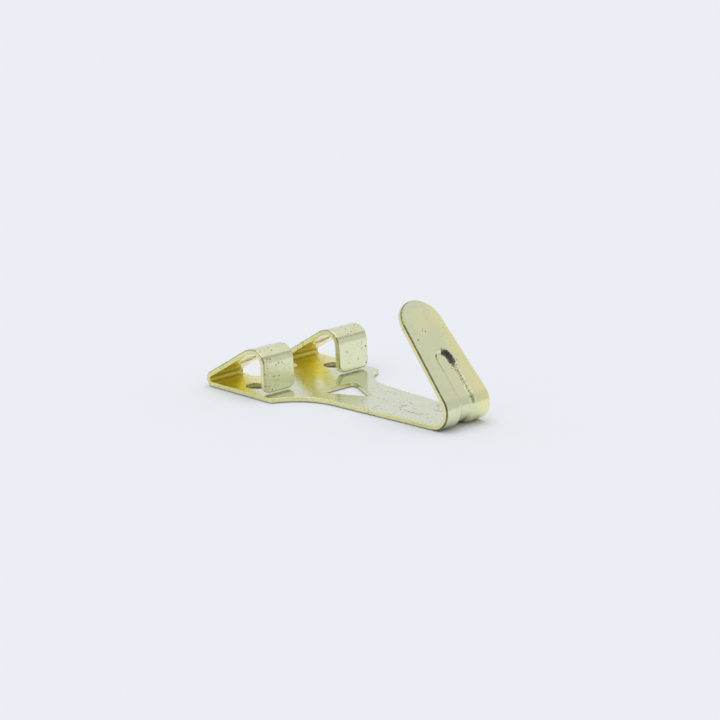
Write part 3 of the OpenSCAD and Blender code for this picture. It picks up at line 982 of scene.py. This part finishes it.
# painted reflection: deeper gold where light bounces between the plate and the ramps, on the loops and on
# the plate
BOUNCE_GOLD = (1.0, 0.86, 0.07, 1)
BOUNCE_GOLD_ON_PLATE = (1.0, 0.92, 0.15, 1)
SIDE_GOLD = (0.93, 0.90, 0.42, 1)
EDGE_GOLD = (0.83, 0.78, 0.34, 1)
# dark specks and pepper, and painted shade on the rolled edges and under the creases
GRIME_AND_SHADE = (0.10, 0.085, 0.035, 1)
# painted shade on the groove's right wall
GROOVE_WALL_SHADE = (0.03, 0.035, 0.02, 1)
# painted shade inside the folds
FOLD_SHADE_BROWN = (0.40, 0.32, 0.09, 1)
STAIN_BROWN = (0.26, 0.16, 0.04, 1)

plate_finish = plated_steel(
    "brass_plating_on_plate", PALE_PLATE, PALE, bloom_amount=0.5, roughness=0.22, speck=0.35,
    patch_level=0.46, cell_scale=1700.0, pepper=0.35, rolled_rub_and_shade=0.3,
    bounce_zone=(BOUNCE_GOLD_ON_PLATE, -0.0212, -0.0128, 0.9), stain=(0.0132, 0.0009, 0.0033))
hook_finish = plated_steel(
    "brass_plating_on_hook", PALE, PALE_WARM, bloom_amount=0.25, roughness=0.17, speck=0.35,
    patch_level=0.6, cell_scale=1600.0, pepper=0.25, rolled_rub_and_shade=0.97,
    warm_side=(SIDE_GOLD, 0.001, 0.004, 0.8))
loop_finish = plated_steel(
    "brass_plating_on_loops", PALE_LOOP, PALE_WARM, bloom_amount=0.25, roughness=0.19, speck=0.39,
    patch_level=0.45, cell_scale=1500.0, pepper=0.3, rolled_rub_and_shade=0.5,
    bounce_zone=(BOUNCE_GOLD, -0.0212, -0.0155, 0.95))


# ---------------------------------------------------------------- pieces on the frame

PIECES = [
    (make_back_plate(), plate_finish, ["back_plate"]),
    (make_hook(), hook_finish, ["hook_bend", "hook_arm"]),
    (make_loop(-1, "left_nail_loop"), loop_finish,
     ["left_nail_fold", "left_nail_ramp", "left_nail_crest", "left_nail_leg"]),
    (make_loop(1, "right_nail_loop"), loop_finish,
     ["right_nail_fold", "right_nail_ramp", "right_nail_crest", "right_nail_leg"]),
]
for piece, finish, nodes in PIECES:
    piece.data.materials.append(finish)
    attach(piece, "root")
    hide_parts(*nodes)


# ---------------------------------------------------------------- studio

FLOOR_COLOR = (0.80, 0.822, 0.862, 1)
FLOOR_HALF = 3.0
FLOOR_GAP = 0.00002
TENT_WHITE = (0.985, 0.99, 1.0, 1)
CAMERA_AIM = Vector((-6.80, 6.42, 4.18)) * MM
CAMERA_AZIMUTH, CAMERA_ELEVATION = math.radians(44.62), math.radians(15.63)
CAMERA_DISTANCE = 0.5796
CAMERA_LENS = 169.2


def make_floor():
    """A wide level square just under the hook."""
    mesh = bpy.data.meshes.new("floor")
    half, z = FLOOR_HALF, CAD_LOW.z - FLOOR_GAP
    corners = [(-half, -half, z), (half, -half, z), (half, half, z), (-half, half, z)]
    mesh.from_pydata(corners, [], [(0, 1, 2, 3)])
    floor = bpy.data.objects.new("floor", mesh)
    bpy.context.scene.collection.objects.link(floor)
    material = bpy.data.materials.new("floor_paper")
    material.use_nodes = True
    shader = material.node_tree.nodes["Principled BSDF"]
    shader.inputs["Base Color"].default_value = FLOOR_COLOR
    shader.inputs["Roughness"].default_value = 0.9
    shader.inputs["Specular IOR Level"].default_value = 0.0
    mesh.materials.append(material)


def direction(azimuth, elevation):
    """Unit vector towards a viewer at that azimuth and elevation."""
    level = math.cos(elevation)
    return Vector((math.sin(azimuth) * level, -math.cos(azimuth) * level, math.sin(elevation)))


def make_studio():
    """A white tent as the world: bright overhead with even walls, a little dimmer on the far side, and a
    soft dark gap where the camera and the person behind it stand."""
    world = bpy.data.worlds.new("white_tent")
    bpy.context.scene.world = world
    world.use_nodes = True
    tree = world.node_tree
    tree.nodes.clear()
    towards = tree.nodes.new("ShaderNodeTexCoord").outputs["Generated"]

    def spot(azimuth, elevation, inner, outer, inside, outside):
        """A value that goes from inside to outside between two angles from a direction, in degrees."""
        d = direction(math.radians(azimuth), math.radians(elevation))
        dot = add(tree, "VectorMath", {0: towards, 1: d}, operation="DOT_PRODUCT").outputs["Value"]
        far, near = math.cos(math.radians(outer)), math.cos(math.radians(inner))
        return ramp_range(tree, dot, far, near, outside, inside)

    overhead = spot(azimuth=0, elevation=90, inner=15, outer=42, inside=2.0, outside=0.76)
    camera_gap = spot(azimuth=44.6, elevation=17, inner=9, outer=38, inside=0.27, outside=1.0)
    far_side = spot(azimuth=135, elevation=18, inner=6, outer=34, inside=0.86, outside=1.0)
    level = math_node(tree, "MULTIPLY", math_node(tree, "MULTIPLY", overhead, camera_gap), far_side)
    background = add(tree, "Background", {"Color": TENT_WHITE, "Strength": level})
    out = tree.nodes.new("ShaderNodeOutputWorld")
    tree.links.new(background.outputs[0], out.inputs[0])


def make_camera():
    """The camera on the line through CAMERA_AIM, level, with no shift."""
    data = bpy.data.cameras.new("camera")
    data.lens, data.sensor_width = CAMERA_LENS, 36.0
    data.clip_start, data.clip_end = 0.05, 20.0
    camera = bpy.data.objects.new("camera", data)
    bpy.context.scene.collection.objects.link(camera)
    back = direction(CAMERA_AZIMUTH, CAMERA_ELEVATION)
    camera.location = CAMERA_AIM + back * CAMERA_DISTANCE
    camera.rotation_euler = (-back).to_track_quat("-Z", "Y").to_euler()
    bpy.context.scene.camera = camera


make_floor()
make_studio()
make_camera()
bpy.context.scene.view_settings.view_transform = "Standard"
